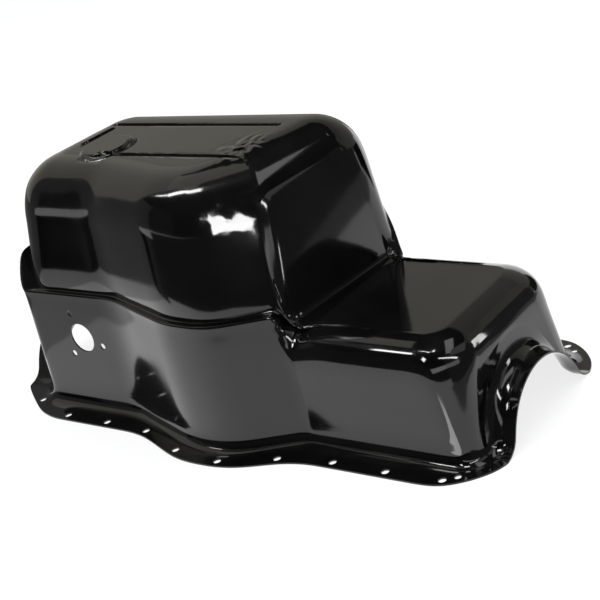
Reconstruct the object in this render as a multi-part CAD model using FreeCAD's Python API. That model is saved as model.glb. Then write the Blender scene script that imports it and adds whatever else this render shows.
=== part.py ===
import FreeCAD, Part
import math
import os

from FreeCAD import Vector

# The pan rests upside down on its gasket face. X runs along the engine towards the shallow
# end, Y across it and Z up towards the sump's floor. All lengths are in millimetres.

# Sheet
sheet = 1.5
foot_blend = 12.0

# Rail, the flat flange that is bolted to the engine block
rail_half_length = 288.0
skirt_half_width = 87.0
side_flange = 31.0
front_flange = 22.0
rear_flange = 45.0
rail_half_width = skirt_half_width + side_flange
rail_front_round = 46.0
rail_rear_cut_length = 66.0
rail_rear_cut_width = 42.0
rail_rear_corner_x = -rail_half_length + rail_rear_cut_length
rail_rear_corner_y = rail_half_width - rail_rear_cut_width
rail_rear_round = 34.0
rail_tip_round = 5.0

# Skirt, the walls between the rail and the floor of the shallow end
skirt_rear_x = -rail_half_length + rear_flange
skirt_front_x = rail_half_length - front_flange
skirt_corner_round = 20.0
rear_flat_length = 135.0
bulge_rear_slope = 98.0
bulge_nose_length = 48.0
bulge_front_slope = 58.0
bulge_rise = 32.0
bulge_reach = skirt_half_width + bulge_rise
bulge_start_x = skirt_rear_x + rear_flat_length
bulge_nose_rear_x = bulge_start_x + bulge_rear_slope
bulge_nose_front_x = bulge_nose_rear_x + bulge_nose_length
bulge_end_x = bulge_nose_front_x + bulge_front_slope
bulge_start_blend = 200.0
bulge_nose_rear_blend = 140.0
bulge_nose_front_blend = 85.0
bulge_end_blend = 55.0
wall_lean = 2.0
front_wall_blend = 10.0
shallow_height = 106.0
shallow_round = 23.0

# Bulge of the rail, which follows the skirt's
rail_bulge_rise = 27.0
rail_bulge_start_lag = 22.0
rail_bulge_nose_lead = 6.0
rail_bulge_nose_lag = 4.0
rail_bulge_end_lag = 6.0
rail_bulge_reach = rail_half_width + rail_bulge_rise
rail_bulge_start_x = bulge_start_x + rail_bulge_start_lag
rail_bulge_nose_rear_x = bulge_nose_rear_x - rail_bulge_nose_lead
rail_bulge_nose_front_x = bulge_nose_front_x + rail_bulge_nose_lag
rail_bulge_end_x = bulge_end_x + rail_bulge_end_lag
rail_bulge_blend = 110.0

# Rail bolt holes
bolt_hole_radius = 3.5
bolts_per_side = 10
bolt_end_distance = 40.5
bolt_pitch = 2 * (rail_half_length - bolt_end_distance) / (bolts_per_side - 1)
bolt_edge_distance = 7.5
locating_hole_radius = 3.0
locating_hole_end_distance = 30.0
locating_hole_side_distance = 17.0
locating_hole_x = rail_half_length - locating_hole_end_distance
locating_hole_y = rail_half_width - locating_hole_side_distance

# Sump, the deep end
ledge_rise = 18.0
ledge_step = 2.0
shoulder_rise = 40.0
sump_rise = 86.0
ledge_height = shallow_height + ledge_rise
shoulder_height = ledge_height + shoulder_rise
sump_height = shoulder_height + sump_rise
sump_front_lag = 1.0
sump_front_slant = 15.0
sump_front_lean = 9.0
sump_crown_far_lag = 26.0
sump_rear_step = 13.0
sump_rear_lean = 24.0
sump_crown_rear_slant = 22.0
sump_side_lean = 7.0
sump_front_x = bulge_end_x + sump_front_lag
sump_far_front_x = sump_front_x + sump_front_slant
sump_crown_front_x = sump_front_x - sump_front_lean
sump_crown_far_front_x = sump_front_x + sump_crown_far_lag
sump_rear_x = skirt_rear_x + sump_rear_step
sump_crown_rear_x = sump_rear_x + sump_rear_lean
sump_crown_far_rear_x = sump_crown_rear_x + sump_crown_rear_slant
sump_crown_half_width = skirt_half_width - sump_side_lean
sump_crown_far_corner_y = skirt_half_width
sump_corner_round = 20.0
sump_far_corner_round = 10.0
sump_crown_corner_round = 46.0
sump_crown_tight_round = 42.0
sump_crown_round = 40.0
crown_bulge_rise = 14.0
crown_bulge_start_lag = 12.0
crown_bulge_nose_rear_lag = 6.0
crown_bulge_nose_front_lag = 4.0
crown_near_corner_cut = 41.0
bulge_crown_reach = skirt_half_width + crown_bulge_rise
bulge_crown_start_x = bulge_start_x + crown_bulge_start_lag
bulge_crown_nose_rear_x = bulge_nose_rear_x + crown_bulge_nose_rear_lag
bulge_crown_nose_front_x = bulge_nose_front_x + crown_bulge_nose_front_lag
sump_crown_near_corner_y = skirt_half_width - crown_near_corner_cut

# Shoulder across the rear of the sump
shoulder_step = 1.0
shoulder_length = 63.0
shoulder_front_x = skirt_rear_x + shoulder_length
shoulder_half_width = skirt_half_width - sump_side_lean
shoulder_round = 24.0
shoulder_end_round = 16.0

# Seal arches, one at each end, round the crankshaft axis
arch_radius = 57.5
arch_drop = 2.0

# Level sensor opening in the near wall
sensor_distance = 79.0
sensor_below_ledge = 47.0
sensor_x = skirt_rear_x + sensor_distance
sensor_z = ledge_height - sensor_below_ledge
sensor_radius = 15.0
sensor_screw_circle = 26.5
sensor_screw_radius = 3.2
sensor_screw_count = 3
sensor_screw_turn = 105.0

# Stiffening grooves and the raised pad on the sump's floor
groove_radius = 4.0
groove_depth = 2.5
far_groove_y = 30.0
near_groove_y = -37.0
groove_rear_distance = 74.0
groove_front_distance = 53.0
groove_start_x = sump_rear_x + groove_rear_distance
groove_end_x = sump_front_x - groove_front_distance
pad_rear_distance = 110.0
pad_x = sump_rear_x + pad_rear_distance
pad_y = -22.0
pad_radius = 25.0
pad_rise = 1.5

# Drain at the rear wall of the sump
drain_above_shoulder = 28.0
drain_seat_inset = 13.0
drain_z = shoulder_height + drain_above_shoulder
drain_seat_radius = 18.0
drain_seat_x = sump_rear_x + drain_seat_inset
drain_thread_radius = 7.0
thread_clearance = 0.05
drain_hole_clearance = 0.5
drain_nut_radius = 13.0
drain_nut_length = 9.0
washer_radius = 11.5
washer_thickness = 1.5
plug_flange_radius = 12.5
plug_flange_thickness = 2.5
plug_head_across_flats = 19.0
plug_head_height = 8.0
plug_edge_break = 0.8

# Room left past a face by a cutting or joining body
overrun = 5.0
rail_below = 25.0
match = 0.01


def lean_in(height):
    """Distance that a wall leans in over a height."""
    return height * math.tan(math.radians(wall_lean))


def side_normal(start, end):
    """Unit vector that points into the outline from one of its sides."""
    along = (end - start).normalize()
    return Vector(-along.y, along.x, 0)


def inset_corner(before, corner, after, inset):
    """Corner moved in so that both of its sides lie deeper by the inset."""
    first = side_normal(before, corner)
    second = side_normal(corner, after)
    middle = first + second
    return corner + middle * (2 * inset / middle.dot(middle))


def turns_left(before, corner, after):
    """True at a convex corner of an outline that runs anticlockwise."""
    return (corner - before).cross(after - corner).z > 0


def outline(corners, height, inset=0.0):
    """Closed wire of straight sides and tangent arcs at one height."""
    count = len(corners)
    points = [Vector(x, y, 0) for x, y, _ in corners]
    tangents = []
    for index, (_, _, radius) in enumerate(corners):
        before = points[index - 1]
        here = points[index]
        after = points[(index + 1) % count]
        previous = points[index - 2]
        following = points[(index + 2) % count]
        convex = turns_left(before, here, after)
        centre = inset_corner(before, here, after, inset)
        near_before = inset_corner(previous, before, here, inset)
        near_after = inset_corner(here, after, following, inset)
        tangents.append(arc_points(near_before, centre, near_after, radius + (-inset if convex else inset)))
    edges = []
    for index, (start, middle, end) in enumerate(tangents):
        lift = Vector(0, 0, height)
        following_start = tangents[(index + 1) % count][0]
        edges.append(Part.Arc(start + lift, middle + lift, end + lift).toShape())
        edges.append(Part.LineSegment(end + lift, following_start + lift).toShape())
    return Part.Wire(edges)


def arc_points(before, corner, after, radius):
    """Start, middle and end of the arc that rounds a corner."""
    back = (before - corner).normalize()
    ahead = (after - corner).normalize()
    half_angle = back.getAngle(ahead) / 2
    reach = radius / math.tan(half_angle)
    bisector = (back + ahead).normalize()
    centre = corner + bisector * (radius / math.sin(half_angle))
    return corner + back * reach, centre - bisector * radius, corner + ahead * reach


def prism(corners, bottom, top, inset=0.0):
    """Upright solid on an outline."""
    return Part.Face(outline(corners, bottom, inset)).extrude(Vector(0, 0, top - bottom))


def leaning_walls(low_corners, high_corners, bottom, top, low_inset, high_inset):
    """Solid between two outlines with straight leaning walls."""
    wires = [outline(low_corners, bottom, low_inset), outline(high_corners, top, high_inset)]
    return Part.makeLoft(wires, True, True)


def flat_edges(shape, height):
    """Edges that lie at one height."""
    found = []
    for edge in shape.Edges:
        box = edge.BoundBox
        if abs(box.ZMin - height) < match and abs(box.ZMax - height) < match:
            found.append(edge)
    return found


def rail_corners():
    """Outer edge of the rail."""
    return [
        (-rail_half_length, -rail_rear_corner_y, rail_tip_round),
        (rail_rear_corner_x, -rail_half_width, rail_rear_round),
        (rail_bulge_start_x, -rail_half_width, rail_bulge_blend),
        (rail_bulge_nose_rear_x, -rail_bulge_reach, rail_bulge_blend),
        (rail_bulge_nose_front_x, -rail_bulge_reach, rail_bulge_blend),
        (rail_bulge_end_x, -rail_half_width, rail_bulge_blend),
        (rail_half_length, -rail_half_width, rail_front_round),
        (rail_half_length, rail_half_width, rail_front_round),
        (rail_rear_corner_x, rail_half_width, rail_rear_round),
        (-rail_half_length, rail_rear_corner_y, rail_tip_round),
    ]


def skirt_corners():
    """Walls at the rail, with the bulge on the near side."""
    return [
        (skirt_rear_x, -skirt_half_width, skirt_corner_round),
        (bulge_start_x, -skirt_half_width, bulge_start_blend),
        (bulge_nose_rear_x, -bulge_reach, bulge_nose_rear_blend),
        (bulge_nose_front_x, -bulge_reach, bulge_nose_front_blend),
        (bulge_end_x, -skirt_half_width, bulge_end_blend),
        (skirt_front_x, -skirt_half_width, skirt_corner_round),
        (skirt_front_x, skirt_half_width, skirt_corner_round),
        (skirt_rear_x, skirt_half_width, skirt_corner_round),
    ]


def deep_corners():
    """Walls below the ledge, ended inside the sump's front wall."""
    return [
        (skirt_rear_x, -skirt_half_width, skirt_corner_round),
        (bulge_start_x, -skirt_half_width, bulge_start_blend),
        (bulge_nose_rear_x, -bulge_reach, bulge_nose_rear_blend),
        (bulge_nose_front_x, -bulge_reach, bulge_nose_front_blend),
        (bulge_end_x, -skirt_half_width, sump_corner_round),
        (bulge_end_x, skirt_half_width, sump_corner_round),
        (skirt_rear_x, skirt_half_width, skirt_corner_round),
    ]


def sump_low_corners():
    """Sump walls at the floor of the shallow end."""
    step = lean_in(shallow_height) + ledge_step
    near_y = -skirt_half_width + step
    nose_y = -bulge_reach + step
    return [
        (sump_rear_x, near_y, sump_corner_round),
        (bulge_start_x, near_y, bulge_start_blend),
        (bulge_nose_rear_x, nose_y, bulge_nose_rear_blend),
        (bulge_nose_front_x, nose_y, bulge_nose_front_blend),
        (sump_front_x, near_y, sump_corner_round),
        (sump_far_front_x, -near_y, sump_far_corner_round),
        (sump_rear_x, -near_y, sump_corner_round),
    ]


def sump_high_corners():
    """Sump walls carried up to the level of its floor."""
    return [
        (sump_crown_rear_x, -sump_crown_half_width, sump_crown_tight_round),
        (bulge_crown_start_x, -sump_crown_half_width, bulge_start_blend),
        (bulge_crown_nose_rear_x, -bulge_crown_reach, bulge_nose_rear_blend),
        (bulge_crown_nose_front_x, -bulge_crown_reach, sump_crown_corner_round),
        (sump_crown_front_x, -sump_crown_near_corner_y, sump_crown_corner_round),
        (sump_crown_far_front_x, sump_crown_far_corner_y, sump_crown_tight_round),
        (sump_crown_far_rear_x, sump_crown_half_width, sump_crown_corner_round),
    ]


def shoulder_corners():
    """Shoulder across the rear wall."""
    rear_x = skirt_rear_x + lean_in(ledge_height) + shoulder_step
    return [
        (rear_x, -shoulder_half_width, shoulder_end_round),
        (shoulder_front_x, -shoulder_half_width, shoulder_end_round),
        (shoulder_front_x, shoulder_half_width, shoulder_end_round),
        (rear_x, shoulder_half_width, shoulder_end_round),
    ]


def arch_core(direction, inset):
    """Round passage from inside the pan past the rail's end."""
    length = rail_half_length + overrun
    return Part.makeCylinder(arch_radius - inset, length, Vector(0, 0, -arch_drop), Vector(direction, 0, 0))


def hollow_form(inset):
    """Body bounded by the pan's outer faces, or by its inner faces when inset by the sheet."""
    low = inset
    skirt_top = shallow_height - inset
    ledge = ledge_height - inset
    crown = sump_height - inset
    skirt = leaning_walls(
        skirt_corners(), skirt_corners(), 0, skirt_top, low, lean_in(skirt_top) + inset)
    skirt = skirt.makeFillet(shallow_round - inset, flat_edges(skirt, skirt_top))
    deep = leaning_walls(deep_corners(), deep_corners(), 0, ledge, low, lean_in(ledge) + inset)
    sump = leaning_walls(
        sump_low_corners(), sump_high_corners(), skirt_top - overrun, crown, inset, inset)
    sump = sump.makeFillet(sump_crown_round - inset, flat_edges(sump, crown))
    shoulder = prism(shoulder_corners(), ledge - overrun, shoulder_height - inset, inset)
    shoulder = shoulder.makeFillet(
        shoulder_round - inset, flat_edges(shoulder, shoulder_height - inset))
    return skirt.fuse([deep, sump, shoulder])


def middle_of(edge):
    """Point halfway along an edge."""
    return edge.valueAt((edge.FirstParameter + edge.LastParameter) / 2)


def rail_and_arches(inset):
    """Hollow form with the rail's plate below it, blended where the walls turn out."""
    plate_top = sheet - inset
    plate = prism(rail_corners(), -rail_below, plate_top, -overrun)
    joined = hollow_form(inset).fuse([plate, arch_core(1, inset), arch_core(-1, inset)])
    joined = joined.removeSplitter()
    rim = outline(rail_corners(), plate_top, -overrun)
    blended = []
    for edge in joined.Edges:
        middle = middle_of(edge)
        from_axis = math.hypot(middle.y, middle.z + arch_drop)
        on_arch = abs(from_axis - arch_radius + inset) < match and middle.z > plate_top
        at_foot = abs(middle.z - plate_top) < match and rim.distToShape(Part.Vertex(middle))[0] > overrun / 2
        if at_foot or (on_arch and abs(middle.x) < rail_half_length):
            blended.append(edge)
    return joined.makeFillet(foot_blend + inset, blended)


def cove_profile(low_x, high_x, y, inset):
    """Section of the rounded corner between the front wall and the shallow floor."""
    floor = shallow_height - inset
    low = Vector(low_x - inset, y, floor - overrun)
    high = Vector(high_x - inset, y, sump_height - inset)
    corner = low + (high - low) * (overrun / (high.z - low.z))
    ahead = Vector(skirt_front_x, y, floor)
    start, middle, end = arc_points(high, corner, ahead, front_wall_blend + inset)
    below = Vector(end.x, y, low.z)
    behind = Vector(start.x - overrun, y, low.z)
    above = Vector(behind.x, y, start.z)
    sides = [Part.Arc(start, middle, end).toShape()]
    for here, there in ((end, below), (below, behind), (behind, above), (above, start)):
        sides.append(Part.LineSegment(here, there).toShape())
    return Part.Wire(sides)


def front_wall_cove(inset):
    """Bar with a hollow face along the foot of the sump's front wall."""
    near_y = -skirt_half_width + lean_in(shallow_height) + ledge_step
    reach = -near_y - sump_corner_round
    low_slope = (sump_far_front_x - sump_front_x) / (-2 * near_y)
    high_slope = (sump_crown_far_front_x - sump_crown_front_x) / (
        sump_crown_far_corner_y + sump_crown_near_corner_y)
    sections = []
    for y in (-reach, reach):
        low_x = sump_front_x + low_slope * (y - near_y)
        high_x = sump_crown_front_x + high_slope * (y + sump_crown_near_corner_y)
        sections.append(cove_profile(low_x, high_x, y, inset))
    return Part.makeLoft(sections, True, True)


def floor_marks(inset):
    """Grooves pressed into the sump's floor and the pad raised on it, as cutter and addition."""
    floor = sump_height - inset
    axis_z = sump_height + groove_radius - groove_depth
    cutters = []
    for groove_y in (far_groove_y, near_groove_y):
        start = Vector(groove_start_x, groove_y, axis_z)
        run = groove_end_x - groove_start_x
        radius = groove_radius + inset
        cutters.append(Part.makeCylinder(radius, run, start, Vector(1, 0, 0)))
        for end_x in (groove_start_x, groove_end_x):
            cutters.append(Part.makeSphere(radius, Vector(end_x, groove_y, axis_z)))
    pad = Part.makeCylinder(
        pad_radius - inset, sump_crown_round + pad_rise, Vector(pad_x, pad_y, floor - sump_crown_round))
    return cutters, pad


def drain_seat(inset):
    """Round seat pressed out of the rear wall."""
    depth = sump_crown_rear_x - drain_seat_x + sump_crown_round
    return Part.makeCylinder(
        drain_seat_radius - inset, depth, Vector(drain_seat_x + inset, 0, drain_z), Vector(1, 0, 0))


def full_form(inset):
    """Everything inside the outer faces of the pressing, or inside its inner faces."""
    cutters, pad = floor_marks(inset)
    form = rail_and_arches(inset)
    form = form.fuse([front_wall_cove(inset), pad, drain_seat(inset)])
    return form.cut(Part.makeCompound(cutters))


def bolt_places():
    """Centres of the rail's bolt holes."""
    rim = outline(rail_corners(), 0, bolt_edge_distance)
    places = []
    for index in range(bolts_per_side):
        x = (index - (bolts_per_side - 1) / 2) * bolt_pitch
        for side in (-1, 1):
            ray = Part.makeLine(Vector(x, 0, 0), Vector(x, side * 2 * rail_half_width, 0))
            places.append(rim.distToShape(ray)[1][0][0])
    return places


def rail_holes():
    """Cutters for the bolt holes and the locating holes."""
    cutters = [Part.makeCylinder(bolt_hole_radius, overrun, place) for place in bolt_places()]
    for side in (-1, 1):
        place = Vector(locating_hole_x, side * locating_hole_y, 0)
        cutters.append(Part.makeCylinder(locating_hole_radius, overrun, place))
    return cutters


def sensor_holes():
    """Cutters square to the leaning wall, for the sensor's opening and its screw holes."""
    lean = math.radians(wall_lean)
    inward = Vector(0, math.cos(lean), -math.sin(lean))
    upward = Vector(0, math.sin(lean), math.cos(lean))
    start = Vector(sensor_x, -skirt_half_width + lean_in(sensor_z), sensor_z) - inward * overrun
    run = 2 * overrun + sheet
    cutters = [Part.makeCylinder(sensor_radius, run, start, inward)]
    for index in range(sensor_screw_count):
        angle = math.radians(sensor_screw_turn + index * 360 / sensor_screw_count)
        place = start + Vector(1, 0, 0) * (sensor_screw_circle * math.cos(angle))
        place = place + upward * (sensor_screw_circle * math.sin(angle))
        cutters.append(Part.makeCylinder(sensor_screw_radius, run, place, inward))
    return cutters


def pan_shell():
    """The pressing, one sheet from the rail to the sump's floor."""
    outside = full_form(0).common(prism(rail_corners(), 0, sump_height + pad_rise))
    shell = outside.cut(full_form(sheet))
    drain_hole = drain_axis_body(
        drain_thread_radius + drain_hole_clearance, drain_seat_x - overrun, 2 * overrun)
    return shell.cut(Part.makeCompound(rail_holes() + sensor_holes() + [drain_hole]))


def drain_axis_body(radius, start_x, length):
    """Round body on the drain's axis, from its rear face towards the front."""
    return Part.makeCylinder(radius, length, Vector(start_x, 0, drain_z), Vector(1, 0, 0))


def drain_nut():
    """Round nut welded inside the seat, which takes the plug's thread."""
    start_x = drain_seat_x + sheet
    nut = drain_axis_body(drain_nut_radius, start_x, drain_nut_length)
    return nut.cut(drain_axis_body(drain_thread_radius, start_x, drain_nut_length))


def drain_washer():
    """Soft sealing ring between the seat and the plug."""
    start_x = drain_seat_x - washer_thickness
    ring = drain_axis_body(washer_radius, start_x, washer_thickness)
    return ring.cut(drain_axis_body(drain_thread_radius + drain_hole_clearance, start_x, washer_thickness))


def drain_plug():
    """Hexagon head, flange and threaded shank."""
    flange_x = drain_seat_x - washer_thickness - plug_flange_thickness
    head_x = flange_x - plug_head_height
    shank_length = plug_flange_thickness + washer_thickness + sheet + drain_nut_length
    flange = drain_axis_body(plug_flange_radius, flange_x, plug_flange_thickness)
    shank = drain_axis_body(drain_thread_radius - thread_clearance, flange_x, shank_length)
    shank = shank.makeChamfer(plug_edge_break, [shank.Edges[0]])
    corner_reach = plug_head_across_flats / math.sqrt(3)
    corners = []
    for index in range(7):
        angle = math.radians(60 * index)
        corners.append(Vector(head_x, corner_reach * math.cos(angle), drain_z + corner_reach * math.sin(angle)))
    head = Part.Face(Part.makePolygon(corners)).extrude(Vector(plug_head_height, 0, 0))
    crown = Part.makeCone(
        plug_head_across_flats / 2, corner_reach + plug_head_height, plug_head_height,
        Vector(head_x, 0, drain_z), Vector(1, 0, 0))
    return head.common(crown).fuse([flange, shank]).removeSplitter()


if __name__ == "__main__":
    os.makedirs("parts", exist_ok=True)
    pan_shell().exportStep("parts/pan_shell.step")
    drain_nut().exportStep("parts/drain_nut.step")
    drain_washer().exportStep("parts/drain_washer.step")
    drain_plug().exportStep("parts/drain_plug.step")
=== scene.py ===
import math

import bmesh
import bpy
from bpy.props import FloatProperty, FloatVectorProperty, PointerProperty
from bpy.types import Operator, Panel, PropertyGroup
from mathutils import Matrix, Vector, noise


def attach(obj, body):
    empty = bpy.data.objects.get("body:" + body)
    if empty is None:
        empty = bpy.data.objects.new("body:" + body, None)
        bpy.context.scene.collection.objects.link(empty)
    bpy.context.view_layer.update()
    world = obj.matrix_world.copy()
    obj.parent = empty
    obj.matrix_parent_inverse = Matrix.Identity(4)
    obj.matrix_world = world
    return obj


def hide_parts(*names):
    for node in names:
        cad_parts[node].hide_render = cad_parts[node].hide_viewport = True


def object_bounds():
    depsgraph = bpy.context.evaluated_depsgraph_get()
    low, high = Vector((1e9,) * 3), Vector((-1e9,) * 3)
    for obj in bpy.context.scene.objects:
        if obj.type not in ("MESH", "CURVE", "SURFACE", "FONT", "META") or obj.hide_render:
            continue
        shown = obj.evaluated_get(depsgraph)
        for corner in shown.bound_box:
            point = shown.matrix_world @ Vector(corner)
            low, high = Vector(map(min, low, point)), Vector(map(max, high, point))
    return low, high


bl_info = {
    "name": "Engine Oil Pan",
    "version": (1, 0, 0),
    "blender": (4, 5, 0),
    "location": "View3D > Sidebar > Oil Pan",
    "description": "Dresses the pressed oil pan and lights it for a product picture",
    "category": "Object",
}

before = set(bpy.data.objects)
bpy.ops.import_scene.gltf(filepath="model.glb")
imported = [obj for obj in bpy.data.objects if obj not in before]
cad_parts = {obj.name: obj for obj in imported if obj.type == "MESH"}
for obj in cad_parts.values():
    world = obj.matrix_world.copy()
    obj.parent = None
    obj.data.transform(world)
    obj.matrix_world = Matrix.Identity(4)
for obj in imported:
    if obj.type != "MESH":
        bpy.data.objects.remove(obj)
cad_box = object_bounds()

MM = 0.001


def length(name, description, default, low=0.0):
    """Length property in metres, given in millimetres."""
    return FloatProperty(
        name=name, description=description, default=default * MM, min=low, unit="LENGTH", precision=5)


class PanSizes(PropertyGroup):
    sheet: length("Sheet", "Thickness of the pressed sheet", 1.5)
    foot_round: length("Foot round", "Radius where the walls turn out into the rail", 12.0)
    shallow_height: length("Shallow height", "Height of the shallow end's floor", 106.0)
    shallow_round: length("Shallow round", "Radius of the shallow end's edges", 23.0)
    ledge_height: length("Ledge height", "Height of the step in the deep walls", 124.0)
    sump_height: length("Sump height", "Height of the sump's floor", 250.0)
    crown_round: length("Crown round", "Radius of the sump's upper edges", 40.0)
    cove_round: length("Cove round", "Hollow radius at the foot of the sump's front wall", 10.0)
    arch_radius: length("Arch radius", "Outer radius of the seal arches", 57.5)
    arch_drop: length("Arch drop", "Distance of the crankshaft axis below the gasket face", 2.0)
    groove_depth: length("Groove depth", "Depth of the stiffening grooves", 3.2)
    groove_half_width: length("Groove half width", "Half the width of a stiffening groove", 3.2)
    pad_rise: length("Pad rise", "Height of the round pad on the sump's floor", 1.5)
    seat_radius: length("Seat radius", "Radius of the flat drain seat in the rear wall", 18.0)
    wall_lean: FloatProperty(
        name="Wall lean", description="Draft of the lower walls", default=math.radians(2.0), unit="ROTATION")


class PaintLook(PropertyGroup):
    black: FloatVectorProperty(
        name="Black", description="Colour of the gloss paint", default=(0.0018, 0.0018, 0.002), size=3,
        subtype="COLOR", min=0.0, max=1.0)
    sheen_black: FloatVectorProperty(
        name="Thin black", description="Colour where the paint lies thinner", default=(0.0046, 0.0043, 0.004),
        size=3, subtype="COLOR", min=0.0, max=1.0)
    roughness: FloatProperty(
        name="Roughness", description="Roughness of the gloss paint", default=0.08, min=0.0, max=1.0,
        subtype="FACTOR")


class StageLook(PropertyGroup):
    azimuth: FloatProperty(
        name="Azimuth", description="Camera's turn from the near side", default=math.radians(43.6),
        unit="ROTATION")
    elevation: FloatProperty(
        name="Elevation", description="Camera's height angle", default=math.radians(24.3), unit="ROTATION")
    roll: FloatProperty(
        name="Roll", description="Camera's roll", default=math.radians(-16.0), unit="ROTATION")
    position: FloatVectorProperty(
        name="Position", description="Camera's place", default=(0.904, -0.899, 0.651), size=3, subtype="XYZ",
        unit="LENGTH")
    lens: FloatProperty(name="Lens", description="Camera's focal length in mm", default=90.0)
    floor_white: FloatVectorProperty(
        name="Floor", description="Colour of the floor", default=(0.93, 0.93, 0.93), size=3,
        subtype="COLOR", min=0.0, max=1.0)


# Outlines of the rail, the lower walls and the sump. Each corner is its plan place and its radius.
# Every ring of the cage has the same stations, counted from the rear corner of the near side.

STATIONS = {
    "rear_near": 6, "near": 21, "front_near": 6, "shallow_near": 5, "end_near": 5, "front": 15,
    "end_far": 5, "shallow_far": 5, "front_far": 6, "far": 21, "rear_far": 6, "rear": 15,
}
CORNERS = {"rear_near": 0, "front_near": 4, "end_near": 5, "end_far": 6, "front_far": 7, "rear_far": 8}
ARC_STEPS = 12
ARCH_STEPS = 9
LEAST_ROUND = 4


def unit(vector):
    """Vector of length one along a direction."""
    return vector.normalized()


def inward(start, end):
    """Plan vector that points into an anticlockwise outline from one side."""
    along = unit(end - start)
    return Vector((-along.y, along.x))


def inset_point(before, here, after, inset):
    """Corner moved in by the inset from both its sides."""
    middle = inward(before, here) + inward(here, after)
    return here + middle * (2 * inset / middle.length_squared)


def corner_arc(corners, index, inset):
    """Start, end and centre of a rounded corner moved in by the inset, with no centre at a straight one."""
    count = len(corners)
    points = [Vector(corner[:2]) for corner in corners]
    here = points[index]
    before, after = points[index - 1], points[(index + 1) % count]
    moved = inset_point(before, here, after, inset)
    back, ahead = unit(before - here), unit(after - here)
    half = back.angle(ahead) / 2
    convex = (here - before).cross(after - here) > 0
    radius = max(corners[index][2] + (-inset if convex else inset), LEAST_ROUND * MM)
    if math.pi / 2 - half < 0.01:
        return moved + back * LEAST_ROUND * MM, moved + ahead * LEAST_ROUND * MM, None
    reach = radius / math.tan(half)
    centre = moved + unit(back + ahead) * (radius / math.sin(half))
    return moved + back * reach, moved + ahead * reach, centre


def along_arc(start, end, centre, share):
    """Point on an arc, or on a straight span where there is no centre."""
    if centre is None:
        return start.lerp(end, share)
    first, last = start - centre, end - centre
    turn = first.angle_signed(last)
    return centre + Matrix.Rotation(-turn * share, 2) @ first


def arc_points(arc, count):
    """Evenly spaced points on one rounded corner."""
    return [along_arc(*arc, step / (count - 1)) for step in range(count)]


def even_points(track, count):
    """Points spaced evenly between the ends of a track."""
    reached = [0.0]
    for before, after in zip(track, track[1:]):
        reached.append(reached[-1] + (after - before).length)
    points, index = [], 0
    for step in range(count):
        wanted = reached[-1] * (step + 1) / (count + 1)
        while reached[index + 1] < wanted:
            index += 1
        share = (wanted - reached[index]) / (reached[index + 1] - reached[index])
        points.append(track[index].lerp(track[index + 1], share))
    return points


def sample(corners, inset=0.0):
    """Stations round an outline of nine rounded corners, moved in by the inset."""
    arcs = [corner_arc(corners, index, inset) for index in range(len(corners))]
    loop, names = [], list(STATIONS)
    for name, index in CORNERS.items():
        loop += arc_points(arcs[index], STATIONS[name])
        track = [arcs[index][1]]
        if index == CORNERS["rear_near"]:
            for bulge_arc in arcs[1:4]:
                track += arc_points(bulge_arc, ARC_STEPS)
            track.append(arcs[4][0])
        else:
            track.append(arcs[(index + 1) % len(arcs)][0])
        loop += even_points(track, STATIONS[names[names.index(name) + 1]])
    return loop


def spans():
    """Stations of each named stretch of the outline."""
    found, at = {}, 0
    for name, count in STATIONS.items():
        found[name] = range(at, at + count)
        at += count
    return found


def spread(loop, stretch, start, end):
    """Space the stations of a stretch evenly between two of the outline's points."""
    for index, point in zip(stretch, even_points([start, end], len(stretch))):
        loop[index] = point


def sump_loop(corners, inset):
    """Stations round the sump, evenly spaced across its front wall."""
    loop = sample(corners, inset)
    parts = spans()
    front = range(parts["shallow_near"][0], parts["shallow_far"][-1] + 1)
    spread(loop, front, loop[parts["front_near"][-1]], loop[parts["front_far"][0]])
    return loop


def mixed(first, second, share):
    """Outline between two outlines with the same corners."""
    return [tuple(a + (b - a) * share for a, b in zip(one, two)) for one, two in zip(first, second)]


def scaled(corners):
    """Outline in metres from one in millimetres."""
    return [(x * MM, y * MM, r * MM) for x, y, r in corners]


REAR_X, FRONT_X, SIDE_Y = -243, 266, -87
SKIRT = scaled([
    (REAR_X, SIDE_Y, 20), (-108, SIDE_Y, 110), (-10, -119, 120), (38, -119, 85), (96, SIDE_Y, 30),
    (FRONT_X, SIDE_Y, 20), (FRONT_X, -SIDE_Y, 20), (108, -SIDE_Y, 12), (REAR_X, -SIDE_Y, 20)])
END_CORNERS_X = 200 * MM
FOOT_CORNER = 15 * MM
TOP_CORNER = 44 * MM
SKIRT_FOOT = [(x, y, min(r, FOOT_CORNER) if abs(x) > END_CORNERS_X else r) for x, y, r in SKIRT]
SKIRT_TOP = [(x, y, TOP_CORNER if x > END_CORNERS_X else r) for x, y, r in SKIRT]
SUMP_LOW = scaled([
    (-230, -81.5, 20), (-108, -81.5, 90), (-10, -113.5, 120), (38, -113.5, 85), (97, -81.5, 20),
    (102, -27.5, 5), (107, 27.5, 5), (112, 81.5, 10), (-230, 81.5, 20)])
SUMP_HIGH = scaled([
    (-206, -80, 42), (-96, -80, 70), (-4, -101, 120), (42, -101, 46), (88, -46, 30),
    (99, -3, 5), (111, 42, 5), (123, 87, 42), (-184, 80, 46)])
RAIL = scaled([
    (-215, -118, 6), (-86, -118, 110), (-16, -145, 110), (42, -145, 110), (102, -118, 110),
    (288, -118, 46), (288, 118, 46), (103, 118, 12), (-255, 118, 10)])
REAR_EAR = ((-288, 74.5), (-277, 83), (-262, 93), (-246, 103.2), (-230, 112.4), (-209, 117.7))
FRONT_EAR = ((236, 118), (252, 115), (270, 102.5), (284, 86), (288, 73))

# Heights over which the corners of the lower walls open out, in millimetres
FOOT_CORNER_HEIGHT = 60
TOP_CORNER_START = 50
TOP_CORNER_RUN = 56


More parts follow.
